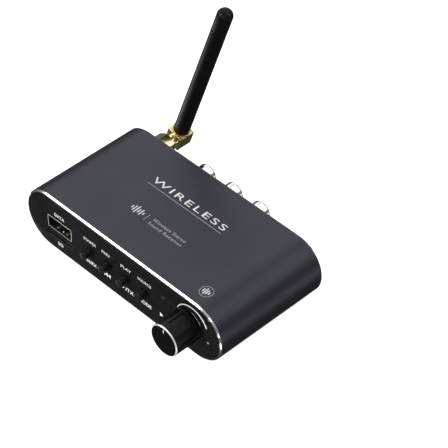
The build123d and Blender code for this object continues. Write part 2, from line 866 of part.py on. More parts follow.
tilt = math.radians(antenna_tilt)
antenna_up = Vector(math.sin(tilt), 0, math.cos(tilt))
elbow_y = back_y + elbow_reach
elbow_centre = Vector(antenna_x, elbow_y, mid_z)
block_height = 7.1
cup_height = 0.9
cup_outer = 3.62
cup_inner = 3.35
elbow_chamfer = 0.35
elbow_gap = 0.05          # socket's end to the neck's flange
neck_flange_thick = 0.4
neck_overlap = 0.4
pin_tip_radius = 0.5
pin_reach = 2.0           # inner pin's reach into the socket
neck_start = socket_tip + elbow_gap


def across_antenna(distance):
    """Plane square to the antenna, at a distance from the elbow block's centre."""
    return Plane(origin=elbow_centre + antenna_up * distance, x_dir=(0, 1, 0), z_dir=antenna_up)


def along_antenna():
    """Profile plane of the antenna: local x runs up the antenna, local y is the radius."""
    return Plane(origin=elbow_centre, x_dir=antenna_up, z_dir=(0, -1, 0))


with BuildPart() as antenna_elbow:
    with BuildSketch(across_antenna(-block_height / 2)):
        Rectangle(elbow_size, elbow_size)
    extrude(amount=block_height)
    chamfer(antenna_elbow.edges(), length=elbow_chamfer)
    with BuildSketch(across_antenna(block_height / 2)):
        Circle(cup_outer)
        Circle(cup_inner, mode=Mode.SUBTRACT)
    extrude(amount=cup_height)
    with BuildSketch(facing(neck_start, antenna_x)):
        Circle(neck_flange_radius)
    extrude(amount=-neck_flange_thick)
    with BuildSketch(facing(neck_start, antenna_x)):
        Circle(neck_radius)
    extrude(amount=neck_start - (elbow_y - elbow_size / 2 + neck_overlap))
    with BuildSketch(facing(socket_tip - pin_reach, antenna_x)):
        Circle(pin_tip_radius)
    extrude(amount=socket_tip - pin_reach - neck_start - elbow_gap)
save(antenna_elbow, "antenna_elbow")

sleeve_start = block_height / 2 + elbow_gap
sleeve_tip_radius = 3.13
tip_round = 2.6
groove_depth = 0.22
groove_width = 0.5
groove_clear = 0.5        # cut starts this far outside the sleeve
groove_distances = [10.8, 12.9, 15.0]      # from the tip
core_gap = 0.05
core_radius = 1.2
core_length = 62.0

with BuildPart() as antenna_sleeve:
    with BuildSketch(along_antenna()):
        with BuildLine():
            Line((sleeve_start, 0), (sleeve_start, antenna_radius))
            Line((sleeve_start, antenna_radius), (antenna_length - tip_round, sleeve_tip_radius))
            RadiusArc(
                (antenna_length - tip_round, sleeve_tip_radius),
                (antenna_length, sleeve_tip_radius - tip_round),
                tip_round,
            )
            Line((antenna_length, sleeve_tip_radius - tip_round), (antenna_length, 0))
            Line((antenna_length, 0), (sleeve_start, 0))
        make_face()
        for distance in groove_distances:
            with Locations((antenna_length - distance, sleeve_tip_radius + groove_clear)):
                Rectangle(groove_width, 2 * (groove_clear + groove_depth), mode=Mode.SUBTRACT)
    revolve(axis=Axis(tuple(elbow_centre), tuple(antenna_up)))
    with BuildSketch(across_antenna(sleeve_start)):
        Circle(core_radius + core_gap)
    extrude(amount=core_length + core_gap, mode=Mode.SUBTRACT)
save(antenna_sleeve, "antenna_sleeve")

with BuildPart() as antenna_core:
    with BuildSketch(across_antenna(sleeve_start)):
        Circle(core_radius)
    extrude(amount=core_length)
save(antenna_core, "antenna_core")

# ---- Antenna lead inside the case --------------------------------------------------------

lead_radius = 0.57
lead_bend = 2.2
plug_radius = 1.5
plug_thick = 1.3
plug_snout = 2.2
plug_snout_width = 1.4
lead_first_straight = 3.2
lead_last_straight = 2.4
plug_spot = (module_x - 3.0, module_y + 15.9)
plug_bottom = board_top + module_board_thick
lead_z = plug_bottom + plug_thick / 2
lead_start_y = flange_front - crimp_length
lead_end_y = plug_spot[1] + plug_snout

with BuildPart() as antenna_lead:
    with BuildLine():
        FilletPolyline(
            (antenna_x, lead_start_y, mid_z),
            (antenna_x, lead_start_y - lead_first_straight, mid_z),
            (plug_spot[0], lead_end_y + lead_last_straight, lead_z),
            (plug_spot[0], lead_end_y, lead_z),
            radius=lead_bend,
        )
    with BuildSketch(facing(lead_start_y, antenna_x)):
        Circle(lead_radius)
    sweep()
save(antenna_lead, "antenna_lead")

with BuildPart() as antenna_plug:
    with BuildSketch(level(plug_bottom, *plug_spot)):
        Circle(plug_radius)
        with Locations((0, plug_snout / 2)):
            Rectangle(plug_snout_width, plug_snout)
    extrude(amount=plug_thick)
save(antenna_plug, "antenna_plug")
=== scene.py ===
"""Looks of a desktop wireless audio receiver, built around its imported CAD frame.

Sizes are written in millimetres and turned into metres where a mesh or a lamp is made.
"""

import json
import math

import bmesh
import bpy
from mathutils import Matrix, Vector


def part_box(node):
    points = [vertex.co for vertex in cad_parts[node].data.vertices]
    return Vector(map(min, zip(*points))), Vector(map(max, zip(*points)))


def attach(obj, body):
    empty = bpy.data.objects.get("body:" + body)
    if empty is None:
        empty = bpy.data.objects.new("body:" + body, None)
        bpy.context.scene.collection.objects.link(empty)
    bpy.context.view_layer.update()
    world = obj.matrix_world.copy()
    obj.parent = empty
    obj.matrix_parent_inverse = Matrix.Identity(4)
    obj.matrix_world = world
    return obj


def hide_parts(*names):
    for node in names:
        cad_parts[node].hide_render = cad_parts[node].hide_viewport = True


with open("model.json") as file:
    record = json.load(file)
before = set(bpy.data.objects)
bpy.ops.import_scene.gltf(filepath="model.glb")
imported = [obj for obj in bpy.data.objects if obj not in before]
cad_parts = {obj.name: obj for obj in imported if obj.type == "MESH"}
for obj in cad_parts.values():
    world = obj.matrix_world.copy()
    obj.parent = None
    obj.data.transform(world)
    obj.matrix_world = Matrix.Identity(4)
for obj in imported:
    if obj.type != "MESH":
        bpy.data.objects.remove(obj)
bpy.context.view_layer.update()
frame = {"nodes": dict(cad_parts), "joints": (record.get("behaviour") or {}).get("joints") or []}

MM = 0.001
SHARP = math.radians(25)

# ---- Places taken from the frame ---------------------------------------------------------


def box_mm(node):
    """Lowest and highest corner of a CAD node, in millimetres."""
    low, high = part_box(node)
    return low / MM, high / MM


def middle(node):
    low, high = box_mm(node)
    return (low + high) / 2


case_low, case_high = box_mm("case_sleeve")
case_middle = (case_low + case_high) / 2
front_y = case_low.y
back_y = case_high.y
mid_z = case_middle.z
case_radius = (case_high.z - case_low.z) / 2
case_half = (case_high.x - case_low.x) / 2

joints = {joint["name"]: joint for joint in frame["joints"]}
antenna_pivot = Vector(joints["antenna_swivel"]["pos_m"]) / MM
swivel_low = joints["antenna_swivel"]["range_deg"][0]
antenna_tilt = math.radians(-90 - swivel_low)
antenna_up = Vector((math.sin(antenna_tilt), 0, math.cos(antenna_tilt)))
knob_middle = middle("volume_knob")
knob_low, knob_high = box_mm("volume_knob")
buttons = ["power", "previous", "play", "mode"]
button_spots = [middle(f"{name}_button") for name in buttons]
jacks = ["coaxial", "right", "left"]

Y_AXIS = Vector((0, 1, 0))


def face(origin, u, v):
    """Matrix from a flat face's own (right, up, out) millimetres to the frame's."""
    u = Vector(u)
    v = Vector(v)
    out = u.cross(v)
    return Matrix.Translation(Vector(origin)) @ Matrix((u, v, out)).transposed().to_4x4()


front_face = face((0, front_y, 0), (1, 0, 0), (0, 0, 1))
back_face = face((0, back_y, 0), (-1, 0, 0), (0, 0, 1))
top_face = face((0, 0, case_high.z), (1, 0, 0), (0, 1, 0))

# ---- Materials ---------------------------------------------------------------------------


def fill_ramp(ramp, stops):
    """Set a colour ramp's stops, each (position, colour), in rising order."""
    elements = ramp.color_ramp.elements
    for element, (position, colour) in zip(elements, (stops[0], stops[-1])):
        element.position = position
        element.color = (*colour, 1)
    for position, colour in stops[1:-1]:
        elements.new(position).color = (*colour, 1)


class Nodes:
    """A material's node tree, with the few steps that every finish here uses."""

    def __init__(self, name):
        self.material = bpy.data.materials.new(name)
        self.material.use_nodes = True
        self.tree = self.material.node_tree
        self.shader = self.tree.nodes["Principled BSDF"]
        coordinates = self.add("ShaderNodeTexCoord")
        self.place = coordinates.outputs["Object"]

    def add(self, kind, **settings):
        node = self.tree.nodes.new(kind)
        for key, value in settings.items():
            setattr(node, key, value)
        return node

    def link(self, source, target):
        self.tree.links.new(source, target)

    def scaled(self, per_mm, offset=(0, 0, 0)):
        """Object coordinates in steps per millimetre along each axis."""
        mapping = self.add("ShaderNodeMapping")
        mapping.inputs["Scale"].default_value = [step / MM for step in per_mm]
        mapping.inputs["Location"].default_value = [-o * s for o, s in zip(offset, per_mm)]
        self.link(self.place, mapping.inputs["Vector"])
        return mapping.outputs["Vector"]

    def noise(self, per_mm, detail=3.0, roughness=0.55):
        texture = self.add("ShaderNodeTexNoise")
        texture.inputs["Scale"].default_value = 1.0
        texture.inputs["Detail"].default_value = detail
        texture.inputs["Roughness"].default_value = roughness
        self.link(self.scaled(per_mm), texture.inputs["Vector"])
        return texture.outputs["Fac"]

    def spread(self, value, low, high):
        """Stretch a noise's middle range over low to high."""
        step = self.add("ShaderNodeMapRange")
        step.inputs["From Min"].default_value = 0.3
        step.inputs["From Max"].default_value = 0.7
        step.inputs["To Min"].default_value = low
        step.inputs["To Max"].default_value = high
        self.link(value, step.inputs["Value"])
        return step.outputs["Result"]

    def colours(self, value, stops):
        ramp = self.add("ShaderNodeValToRGB")
        fill_ramp(ramp, stops)
        self.link(value, ramp.inputs["Fac"])
        self.link(ramp.outputs["Color"], self.shader.inputs["Base Color"])

    def bump(self, height, depth_mm, strength=1.0, after=None):
        step = self.add("ShaderNodeBump")
        step.inputs["Strength"].default_value = strength
        step.inputs["Distance"].default_value = depth_mm * MM
        self.link(height, step.inputs["Height"])
        if after:
            self.link(after, step.inputs["Normal"])
        self.link(step.outputs["Normal"], self.shader.inputs["Normal"])
        return step.outputs["Normal"]

    def rings(self, per_mm, centre):
        """Fine turned rings round a Y axis through a point of the frame, in millimetres."""
        wave = self.add("ShaderNodeTexWave", wave_type="RINGS", rings_direction="Y")
        wave.inputs["Scale"].default_value = 1.0
        wave.inputs["Distortion"].default_value = 1.2
        wave.inputs["Detail"].default_value = 2.0
        mapping = self.scaled((per_mm,) * 3, offset=centre)
        self.link(mapping, wave.inputs["Vector"])
        return wave.outputs["Fac"]


def tone(colour, share):
    """A colour made lighter or darker by a share."""
    return tuple(min(1.0, channel * share) for channel in colour)


def finish_material(
    name,
    colour,
    metallic=0.0,
    roughness=(0.4, 0.5),
    patches=(0.12, 0.12, 0.12),
    grain=(3.0, 3.0, 3.0),
    grain_depth=0.004,
    variation=0.12,
    specular=0.5,
    coat=0.0,
    turned=None,
):
    """A plain finish with cloudy colour and gloss, and a fine grain that stands in relief."""
    nodes = Nodes(name)
    shader = nodes.shader
    shader.inputs["Metallic"].default_value = metallic
    shader.inputs["Specular IOR Level"].default_value = specular
    shader.inputs["Coat Weight"].default_value = coat
    shader.inputs["Coat Roughness"].default_value = 0.08
    clouds = nodes.noise(patches)
    fine = nodes.noise(grain, detail=5.0)
    nodes.colours(clouds, [(0.3, tone(colour, 1 - variation)), (0.7, tone(colour, 1 + variation))])
    nodes.link(nodes.spread(fine, *roughness), shader.inputs["Roughness"])
    relief = nodes.bump(fine, grain_depth)
    if turned:
        per_mm, centre, depth = turned
        nodes.bump(nodes.rings(per_mm, centre), depth, after=relief)
    return nodes.material


anodised = finish_material(
    "anodised_blue_grey", (0.050, 0.0505, 0.064), metallic=0.9, roughness=(0.36, 0.44),
    patches=(0.05, 0.05, 0.05), grain=(5.0, 1.2, 5.0), grain_depth=0.003, variation=0.05,
)
bright_edge = finish_material(
    "turned_bright_edge", (0.93, 0.93, 0.94), metallic=1.0, roughness=(0.1, 0.2),
    grain=(1.0, 8.0, 1.0), grain_depth=0.002, variation=0.03,
)
gloss_black = finish_material(
    "gloss_black_moulding", (0.0085, 0.0085, 0.0095), roughness=(0.03, 0.07),
    patches=(0.06, 0.06, 0.06), grain=(0.5, 0.5, 0.5), grain_depth=0.0002, variation=0.2,
)
powder_black = finish_material(
    "powder_coated_black", (0.016, 0.016, 0.018), roughness=(0.45, 0.6),
    grain=(6.0, 6.0, 6.0), grain_depth=0.02, variation=0.2,
)
rubber = finish_material(
    "antenna_rubber", (0.0022, 0.0022, 0.0024), roughness=(0.36, 0.46),
    patches=(0.2, 0.2, 0.08), grain=(5.0, 5.0, 5.0), grain_depth=0.012, variation=0.25,
    specular=0.22,
)
feet_rubber = finish_material(
    "foot_rubber", (0.018, 0.018, 0.018), roughness=(0.7, 0.9),
    grain=(6.0, 6.0, 6.0), grain_depth=0.03, variation=0.25,
)
gold = finish_material(
    "polished_gold_plate", (0.90, 0.77, 0.40), metallic=1.0, roughness=(0.08, 0.18),
    patches=(0.4, 0.4, 0.4), grain=(3.0, 3.0, 3.0), grain_depth=0.003, variation=0.06,
)
brushed_gold = finish_material(
    "brushed_gold_plate", (0.74, 0.63, 0.33), metallic=1.0, roughness=(0.2, 0.36),
    patches=(0.5, 0.5, 0.5), grain=(6.0, 1.0, 12.0), grain_depth=0.01, variation=0.12,
)
nickel = finish_material(
    "polished_nickel", (0.90, 0.89, 0.87), metallic=1.0, roughness=(0.05, 0.12),
    grain=(2.0, 6.0, 2.0), grain_depth=0.0015, variation=0.04,
)
# Darker copy of the nickel: painted shade for the dark reflections on the phono barrels' rounded tips and
# in their seams.
nickel_shade_paint = finish_material(
    "nickel_painted_shade", (0.26, 0.26, 0.26), metallic=1.0, roughness=(0.1, 0.18),
    grain=(2.0, 6.0, 2.0), grain_depth=0.0015, variation=0.04,
)
tin = finish_material(
    "tin_plated_steel", (0.72, 0.71, 0.69), metallic=1.0, roughness=(0.22, 0.34),
    grain=(2.0, 8.0, 2.0), grain_depth=0.003, variation=0.08,
)
usb_steel = finish_material(
    "usb_shell_steel", (0.80, 0.76, 0.71), metallic=0.3, roughness=(0.4, 0.5),
    grain=(2.0, 8.0, 2.0), grain_depth=0.003, variation=0.08,
)
# Dark brownish copy of the shell's steel: painted shade inside the socket, with a painted brown
# reflection of its copper contacts.
usb_shade_paint = finish_material(
    "usb_shell_painted_shade", (0.016, 0.009, 0.008), metallic=0.5, roughness=(0.4, 0.55),
    patches=(0.3, 0.3, 0.3), grain=(2.0, 8.0, 2.0), grain_depth=0.003, variation=0.5,
)
# Springs in a brownish grey far darker than tin: painted shade inside the socket.
spring_steel = finish_material(
    "spring_painted_shade", (0.20, 0.16, 0.14), metallic=0.4, roughness=(0.35, 0.5),
    grain=(4.0, 4.0, 4.0), grain_depth=0.004, variation=0.2,
)
knob_body_black = finish_material(
    "knob_black_anodised", (0.0045, 0.0045, 0.005), roughness=(0.3, 0.42), specular=0.16,
    grain=(6.0, 2.0, 6.0), grain_depth=0.004, variation=0.2,
)
knob_face_black = finish_material(
    "knob_spun_face", (0.0025, 0.0025, 0.0028), roughness=(0.2, 0.28), specular=0.25,
    grain=(4.0, 4.0, 4.0), grain_depth=0.0005, variation=0.2, turned=(9.0, knob_middle, 0.0006),
)
knob_ring = finish_material(
    "knob_bright_ring", (0.88, 0.88, 0.89), metallic=0.8, roughness=(0.4, 0.5),
    grain=(2.0, 8.0, 2.0), grain_depth=0.002, variation=0.03,
)
moulded_black = finish_material(
    "moulded_black_plastic", (0.004, 0.004, 0.004), roughness=(0.28, 0.4),
    grain=(4.0, 4.0, 4.0), grain_depth=0.006, variation=0.2,
)
legend_white = finish_material(
    "legend_ink_white", (0.86, 0.86, 0.86), roughness=(0.45, 0.6),
    grain=(8.0, 8.0, 8.0), grain_depth=0.004, variation=0.05,
)
legend_grey = finish_material(
    "legend_ink_grey", (0.42, 0.42, 0.44), roughness=(0.45, 0.6),
    grain=(8.0, 8.0, 8.0), grain_depth=0.004, variation=0.08,
)
screw_black = finish_material(
    "black_zinc", (0.03, 0.03, 0.033), metallic=0.8, roughness=(0.25, 0.4),
    grain=(4.0, 4.0, 4.0), grain_depth=0.004, variation=0.2,
)
board_green = finish_material(
    "board_solder_mask", (0.015, 0.10, 0.045), roughness=(0.2, 0.3),
    patches=(0.6, 0.25, 0.6), grain=(2.0, 2.0, 2.0), grain_depth=0.01, variation=0.35, coat=0.3,
)
insulator_colours = {
    "coaxial": (0.75, 0.24, 0.03),
    "right": (0.55, 0.02, 0.02),
    "left": (0.78, 0.78, 0.75),
}
insulators = {
    name: finish_material(
        f"insulator_{name}", colour, roughness=(0.3, 0.42),
        grain=(4.0, 4.0, 4.0), grain_depth=0.006, variation=0.06,
    )
    for name, colour in insulator_colours.items()
}
copper = finish_material(
    "bare_copper", (0.75, 0.38, 0.22), metallic=1.0, roughness=(0.2, 0.35), variation=0.12,
)
bare_aluminium = finish_material(
    "bare_aluminium", (0.62, 0.62, 0.62), metallic=1.0, roughness=(0.25, 0.38), variation=0.06,
)


def lens_material():
    """Smoked light pipe."""
    material = finish_material(
        "smoked_lens", (0.05, 0.05, 0.055), roughness=(0.15, 0.25),
        grain=(3.0, 3.0, 3.0), grain_depth=0.003, variation=0.08,
    )
    shader = material.node_tree.nodes["Principled BSDF"]
    shader.inputs["Transmission Weight"].default_value = 0.35
    return material


smoked_lens = lens_material()

# ---- Mesh helpers ------------------------------------------------------------------------


def make_object(name, corners, faces, materials, face_materials=None):
    """A mesh object from corners in millimetres, smooth except at its edges."""
    mesh = bpy.data.meshes.new(name)
    mesh.from_pydata([Vector(corner) * MM for corner in corners], [], faces)
    mesh.validate()
    for material in materials:
        mesh.materials.append(material)
    if face_materials:
        mesh.polygons.foreach_set("material_index", face_materials)
    shaped = bmesh.new()
    shaped.from_mesh(mesh)
    bmesh.ops.recalc_face_normals(shaped, faces=shaped.faces)
    shaped.to_mesh(mesh)
    shaped.free()
    mesh.shade_smooth()
    mesh.set_sharp_from_angle(angle=SHARP)
    piece = bpy.data.objects.new(name, mesh)
    bpy.context.scene.collection.objects.link(piece)
    return piece


def rounded(points, steps=4, closed=True):
    """A flat outline with arcs at its corners: each point is (a, b) or (a, b, radius)."""
    outline = []
    count = len(points)
    for index, point in enumerate(points):
        corner = Vector(point[:2])
        radius = point[2] if len(point) > 2 else 0
        at_end = not closed and index in (0, count - 1)
        if not radius or at_end:
            outline.append(corner)
            continue
        before = (Vector(points[index - 1][:2]) - corner).normalized()
        after = (Vector(points[(index + 1) % count][:2]) - corner).normalized()
        half = before.angle(after) / 2
        centre = corner + (before + after).normalized() * radius / math.sin(half)
        start = corner + before * radius / math.tan(half) - centre
        turn = math.pi - 2 * half
        side = 1 if before.x * after.y - before.y * after.x < 0 else -1
        for step in range(steps + 1):
            angle = side * turn * step / steps
            outline.append(centre + Matrix.Rotation(angle, 2) @ start)
    return outline


def lathe(name, body, profile, origin, axis, material, segments=96, closed=False,
          bands=None, shape=None, angles=None):
    """A turned piece. The profile is (distance along the axis, radius) in millimetres.

    bands gives each stretch of the profile a place in the list of materials, and
    shape(along, radius, angle) may cut flutes or a seam into the round.
    """
    axis = Vector(axis).normalized()
    side = axis.cross(Vector((0, 0, 1)) if abs(axis.z) < 0.9 else Vector((1, 0, 0))).normalized()
    up = side.cross(axis)
    angles = angles or [math.tau * i / segments for i in range(segments)]
    corners, rows = [], []
    for along, radius in profile:
        if radius < 1e-6:
            rows.append([len(corners)])
            corners.append(Vector(origin) + axis * along)
            continue
        rows.append(list(range(len(corners), len(corners) + len(angles))))
        for angle in angles:
            reach = shape(along, radius, angle) if shape else radius
            across = side * math.cos(angle) + up * math.sin(angle)
            corners.append(Vector(origin) + axis * along + across * reach)
    faces, face_bands = [], []
    pairs = list(zip(rows, rows[1:]))
    if closed:
        pairs.append((rows[-1], rows[0]))
    for stretch, (a, b) in enumerate(pairs):
        for i in range(len(angles)):
            j = (i + 1) % len(angles)
            ring = [a[i % len(a)], a[j % len(a)], b[j % len(b)], b[i % len(b)]]
            ring = list(dict.fromkeys(ring))
            if len(ring) > 2:
                faces.append(ring)
                face_bands.append(bands[stretch] if bands else 0)
    materials = material if isinstance(material, list) else [material]
    piece = make_object(name, corners, faces, materials, face_bands)
    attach(piece, body)
    return piece


def plate(name, body, outline, holes, y_front, thick, bevel, material):
    """A flat moulding that stands across Y, with holes and softened edges."""
    curve = bpy.data.curves.new(name, "CURVE")
    curve.dimensions = "2D"
    curve.fill_mode = "BOTH"
    curve.extrude = thick / 2 - bevel
    curve.bevel_depth = bevel
    curve.bevel_resolution = 2
    curve.offset = -bevel
    for loop in [outline, *holes]:
        spline = curve.splines.new("POLY")
        spline.points.add(len(loop) - 1)
        for point, (u, v) in zip(spline.points, loop):
            point.co = (u, v, 0, 1)
        spline.use_cyclic_u = True
    holder = bpy.data.objects.new(name, curve)
    bpy.context.scene.collection.objects.link(holder)
    bpy.context.view_layer.update()
    evaluated = holder.evaluated_get(bpy.context.evaluated_depsgraph_get())
    mesh = bpy.data.meshes.new_from_object(evaluated)
    bpy.data.objects.remove(holder)
    placed = face((0, y_front + thick / 2, 0), (1, 0, 0), (0, 0, 1))
    corners = [placed @ vertex.co for vertex in mesh.vertices]
    faces = [list(polygon.vertices) for polygon in mesh.polygons]
    bpy.data.meshes.remove(mesh)
    piece = make_object(name, corners, faces, [material])
    fuse(piece)
    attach(piece, body)
    return piece


def fuse(piece, distance=0.0005):
    """Join corners that lie on each other."""
    shaped = bmesh.new()
    shaped.from_mesh(piece.data)
    bmesh.ops.remove_doubles(shaped, verts=shaped.verts, dist=distance * MM)
    bmesh.ops.recalc_face_normals(shaped, faces=shaped.faces)
    shaped.to_mesh(piece.data)
    shaped.free()
    piece.data.shade_smooth()
    piece.data.set_sharp_from_angle(angle=SHARP)


def circle(x, z, radius, segments=64):
    return [
        (x + radius * math.cos(math.tau * i / segments), z + radius * math.sin(math.tau * i / segments))
        for i in range(segments)
    ]


def stadium(inset, segments=48):
    """The case's outline, moved inwards."""
    radius = case_radius - inset
    reach = case_half - case_radius
    outline = []
    for side in (1, -1):
        for step in range(segments + 1):
            angle = -math.pi / 2 + math.pi * step / segments
            x = reach + radius * math.cos(angle)
            outline.append((side * x, mid_z + side * radius * math.sin(angle)))
    return outline


def window(x, z, width, height, radius):
    """A rectangle with rounded corners."""
    w, h = width / 2, height / 2
    return rounded([(x + u, z + v, radius) for u, v in ((-w, -h), (w, -h), (w, h), (-w, h))])


def node_look(node, material):
    """Give a carried-over CAD node its finish."""
    mesh = frame["nodes"][node].data
    mesh.materials.clear()
    mesh.materials.append(material)


# ---- Printed marks -----------------------------------------------------------------------

INK = 0.015


class Print:
    """One printed layer on a flat face: letters, shapes and bands, joined as one piece."""

    def __init__(self, name, body, place, material, slot):
        self.name, self.body, self.place = name, body, place
        self.material, self.slot = material, slot
        self.corners, self.faces = [], []

    def slab(self, outline):
        start = len(self.corners)
        count = len(outline)
        for height in (-INK, INK):
            self.corners += [self.place @ Vector((u, v, height)) for u, v in outline]
        self.faces.append([start + i for i in reversed(range(count))])
        self.faces.append([start + count + i for i in range(count)])
        for i in range(count):
            j = (i + 1) % count
            self.faces.append([start + i, start + j, start + count + j, start + count + i])

    def bar(self, u, v, width, height):
        self.slab(window(u, v, width, height, min(width, height) * 0.3))

    def arrow(self, tip, base, v, half):
        """A triangle from its tip across to its base."""
        self.slab([(tip, v), (base, v - half), (base, v + half)])

    def band(self, u, v, radius, width, start, end, steps=64):
        """An arc-shaped stroke. width is one number, or (at the start, at the end)."""
        widths = width if isinstance(width, tuple) else (width, width)
        whole = abs(end - start) >= 360
        first = len(self.corners)
        count = steps if whole else steps + 1
        for i in range(count):
            share = i / steps
            angle = math.radians(start + (end - start) * share)
            half = (widths[0] + (widths[1] - widths[0]) * share) / 2
            for reach, height in ((-half, -INK), (half, -INK), (half, INK), (-half, INK)):
                r = radius + reach
                point = Vector((u + r * math.cos(angle), v + r * math.sin(angle), height))
                self.corners.append(self.place @ point)
        for i in range(steps):
            a, b = first + 4 * i, first + 4 * ((i + 1) % count)
            for k in range(4):
                m = (k + 1) % 4
                self.faces.append([a + k, a + m, b + m, b + k])
        if not whole:
            last = first + 4 * steps
            self.faces += [[first + k for k in range(4)], [last + k for k in reversed(range(4))]]

    def text(self, words, u, v, height, width, bold=0.0, spacing=1.1):
        """Plain letters, u and v at their middle, scaled to a height and a width."""
        curve = bpy.data.curves.new("letters", "FONT")
        curve.body = words
        curve.extrude = 0.5
        curve.offset = bold
        curve.space_character = spacing
        curve.resolution_u = 4
        holder = bpy.data.objects.new("letters", curve)
        bpy.context.scene.collection.objects.link(holder)
        bpy.context.view_layer.update()
        evaluated = holder.evaluated_get(bpy.context.evaluated_depsgraph_get())
        mesh = bpy.data.meshes.new_from_object(evaluated)
        bpy.data.objects.remove(holder)
        xs = [vertex.co.x for vertex in mesh.vertices]
        ys = [vertex.co.y for vertex in mesh.vertices]
        across = width / (max(xs) - min(xs))
        upward = height / (max(ys) - min(ys))
        start = len(self.corners)
        for vertex in mesh.vertices:
            point = Vector((
                u + (vertex.co.x - (max(xs) + min(xs)) / 2) * across,
                v + (vertex.co.y - (max(ys) + min(ys)) / 2) * upward,
                vertex.co.z * 2 * INK,
            ))
            self.corners.append(self.place @ point)
        self.faces += [[start + i for i in polygon.vertices] for polygon in mesh.polygons]
        bpy.data.meshes.remove(mesh)

    def finish(self):
        piece = make_object(self.name, self.corners, self.faces, [self.material])
        fuse(piece)
        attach(piece, self.body)


# ---- Case --------------------------------------------------------------------------------

front_thick, back_thick = 2.0, 1.5      # front panel and back panel
panel_inset = 0.9                       # their outline inside the case's
panel_bevel = 0.12
usb_height = 5.72                       # socket's mouth, without its legs
usb_low, usb_high = box_mm("usb_shell")
usb_x, usb_z = (usb_low.x + usb_high.x) / 2, usb_high.z - usb_height / 2
usb_width = usb_high.x - usb_low.x

def sleeve(name, body, section, outline, materials, bright=()):
    """Tube along Y.

    The section's points are (inset, y), and outline(inset) gives each loop in x and z.
    The stretches listed in bright take the second material.
    """
    corners, faces, parts, loops = [], [], [], []
    for inset, y in section:
        loop = outline(inset)
        loops.append(list(range(len(corners), len(corners) + len(loop))))
        corners += [(x, y, z) for x, z in loop]
    for stretch, a in enumerate(loops):
        b = loops[(stretch + 1) % len(loops)]
        for i in range(len(a)):
            j = (i + 1) % len(a)
            faces.append([a[i], a[j], b[j], b[i]])
            parts.append(1 if stretch in bright else 0)
    piece = make_object(name, corners, faces, materials, parts)
    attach(piece, body)
    return piece


def build_case():
    """Extruded sleeve with a satin skin and bright chamfers at both ends."""
    wall, lip, chamfer, soft = 1.4, 0.85, 0.7, 0.06
    section = [
        (wall, front_y + front_thick), (lip, front_y + front_thick), (lip, front_y + soft),
        (lip - soft, front_y), (chamfer, front_y), (chamfer - soft, front_y + soft * 0.4),
        (soft * 0.4, front_y + chamfer - soft), (0, front_y + chamfer), (0, front_y + chamfer + soft),
        (0, back_y - chamfer - soft), (0, back_y - chamfer), (soft * 0.4, back_y - chamfer + soft),
        (chamfer - soft, back_y - soft * 0.4), (chamfer, back_y), (lip - soft, back_y),
        (lip, back_y - soft), (lip, back_y - back_thick), (wall, back_y - back_thick),
    ]
    bright = {4, 5, 6, 10, 11, 12}
    piece = sleeve("case_shell", "case", section, stadium, [anodised, bright_edge], bright)
    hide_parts("case_sleeve")


def build_usb_shell():
    """Folded shell with a softened mouth."""
    wall, corner, soft = 0.3, 0.6, 0.08
    mouth = usb_low.y

    def outline(inset):
        return window(usb_x, usb_z, usb_width - 2 * inset, usb_height - 2 * inset, corner - inset)

    section = [
        (0, usb_high.y), (0, mouth + soft), (soft * 0.3, mouth + soft * 0.3), (soft, mouth),
        (wall - soft, mouth), (wall - soft * 0.3, mouth + soft * 0.3), (wall, mouth + soft),
        (wall, usb_high.y),
    ]
    # Only the mouth's rim takes the steel; every other face of the shell takes the painted shade.
    piece = sleeve("usb_mouth", "case", section, outline, [usb_shade_paint, usb_steel], {2, 3})
    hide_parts("usb_shell")
    build_usb_springs(usb_z - usb_height / 2 + wall)


def build_usb_springs(floor_z):
    """Two spring tabs and a dimple that stand up from the shell's floor."""
    tab_side = [(0, 0), (1.5, 0.34), (1.9, 0.16), (1.8, 0.06), (1.4, 0.2)]   # back, lift
    tab_half, tab_apart, tab_shift, tab_in = 0.5, 2.6, 0.2, 2.8
    count = len(tab_side)
    for side in (-1, 1):
        tab_x, tab_y = usb_x + tab_shift + side * tab_apart, usb_low.y + tab_in
        corners = [
            (tab_x + across, tab_y - back, floor_z + lift)
            for across in (-tab_half, tab_half) for back, lift in tab_side
        ]
        faces = [list(range(count)), list(reversed(range(count, 2 * count)))]
        faces += [[i, (i + 1) % count, count + (i + 1) % count, count + i] for i in range(count)]
        # The tabs take the painted shade colour.
        tab = make_object("usb_spring", corners, faces, [spring_steel])
        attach(tab, "case")
    radius, steps = 0.5, 8
    turns = [math.pi / 2 * step / steps for step in range(steps)]
    dome = [(radius * math.sin(turn), radius * math.cos(turn)) for turn in turns]
    dimple = lathe(
        "usb_dimple", "case", [(0, 0), *dome, (radius, 0)],
        (usb_x + 0.8, usb_low.y + 1.3, floor_z), (0, 0, 1), nickel, 24,
    )


def build_front_panel():
    """Fascia with openings for the sockets, the buttons, the knob's shaft and the light."""
    lens = middle("status_light")
    usb_room = 0.2
    card_drop, card_width, card_height = 5.65, 12.9, 1.4
    button_hole, shaft_hole, lens_hole = 2.0, 3.6, 0.9
    holes = [
        window(usb_x, usb_z, usb_width + usb_room, usb_height + usb_room, 0.7),
        window(usb_x, mid_z - card_drop, card_width, card_height, 0.3),
    ]
    holes += [circle(spot.x, spot.z, button_hole) for spot in button_spots]
    holes.append(circle(knob_middle.x, knob_middle.z, shaft_hole))
    holes.append(circle(lens.x, lens.z, lens_hole, 32))
    piece = plate(
        "front_fascia", "case", stadium(panel_inset), holes, front_y, front_thick, panel_bevel,
        gloss_black,
    )
    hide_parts("front_panel")


def build_back_panel():
    barrel_hole, nose_hole, antenna_hole = 4.5, 3.05, 3.2
    holes = [circle(middle(f"rca_{name}_shell").x, mid_z, barrel_hole) for name in jacks]
    holes += [circle(middle(node).x, mid_z, nose_hole) for node in ("line_jack", "power_jack")]
    holes.append(circle(antenna_pivot.x, mid_z, antenna_hole))
    piece = plate(
        "rear_cover", "case", stadium(panel_inset), holes, back_y - back_thick, back_thick,
        panel_bevel, powder_black,
    )
    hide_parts("back_panel")


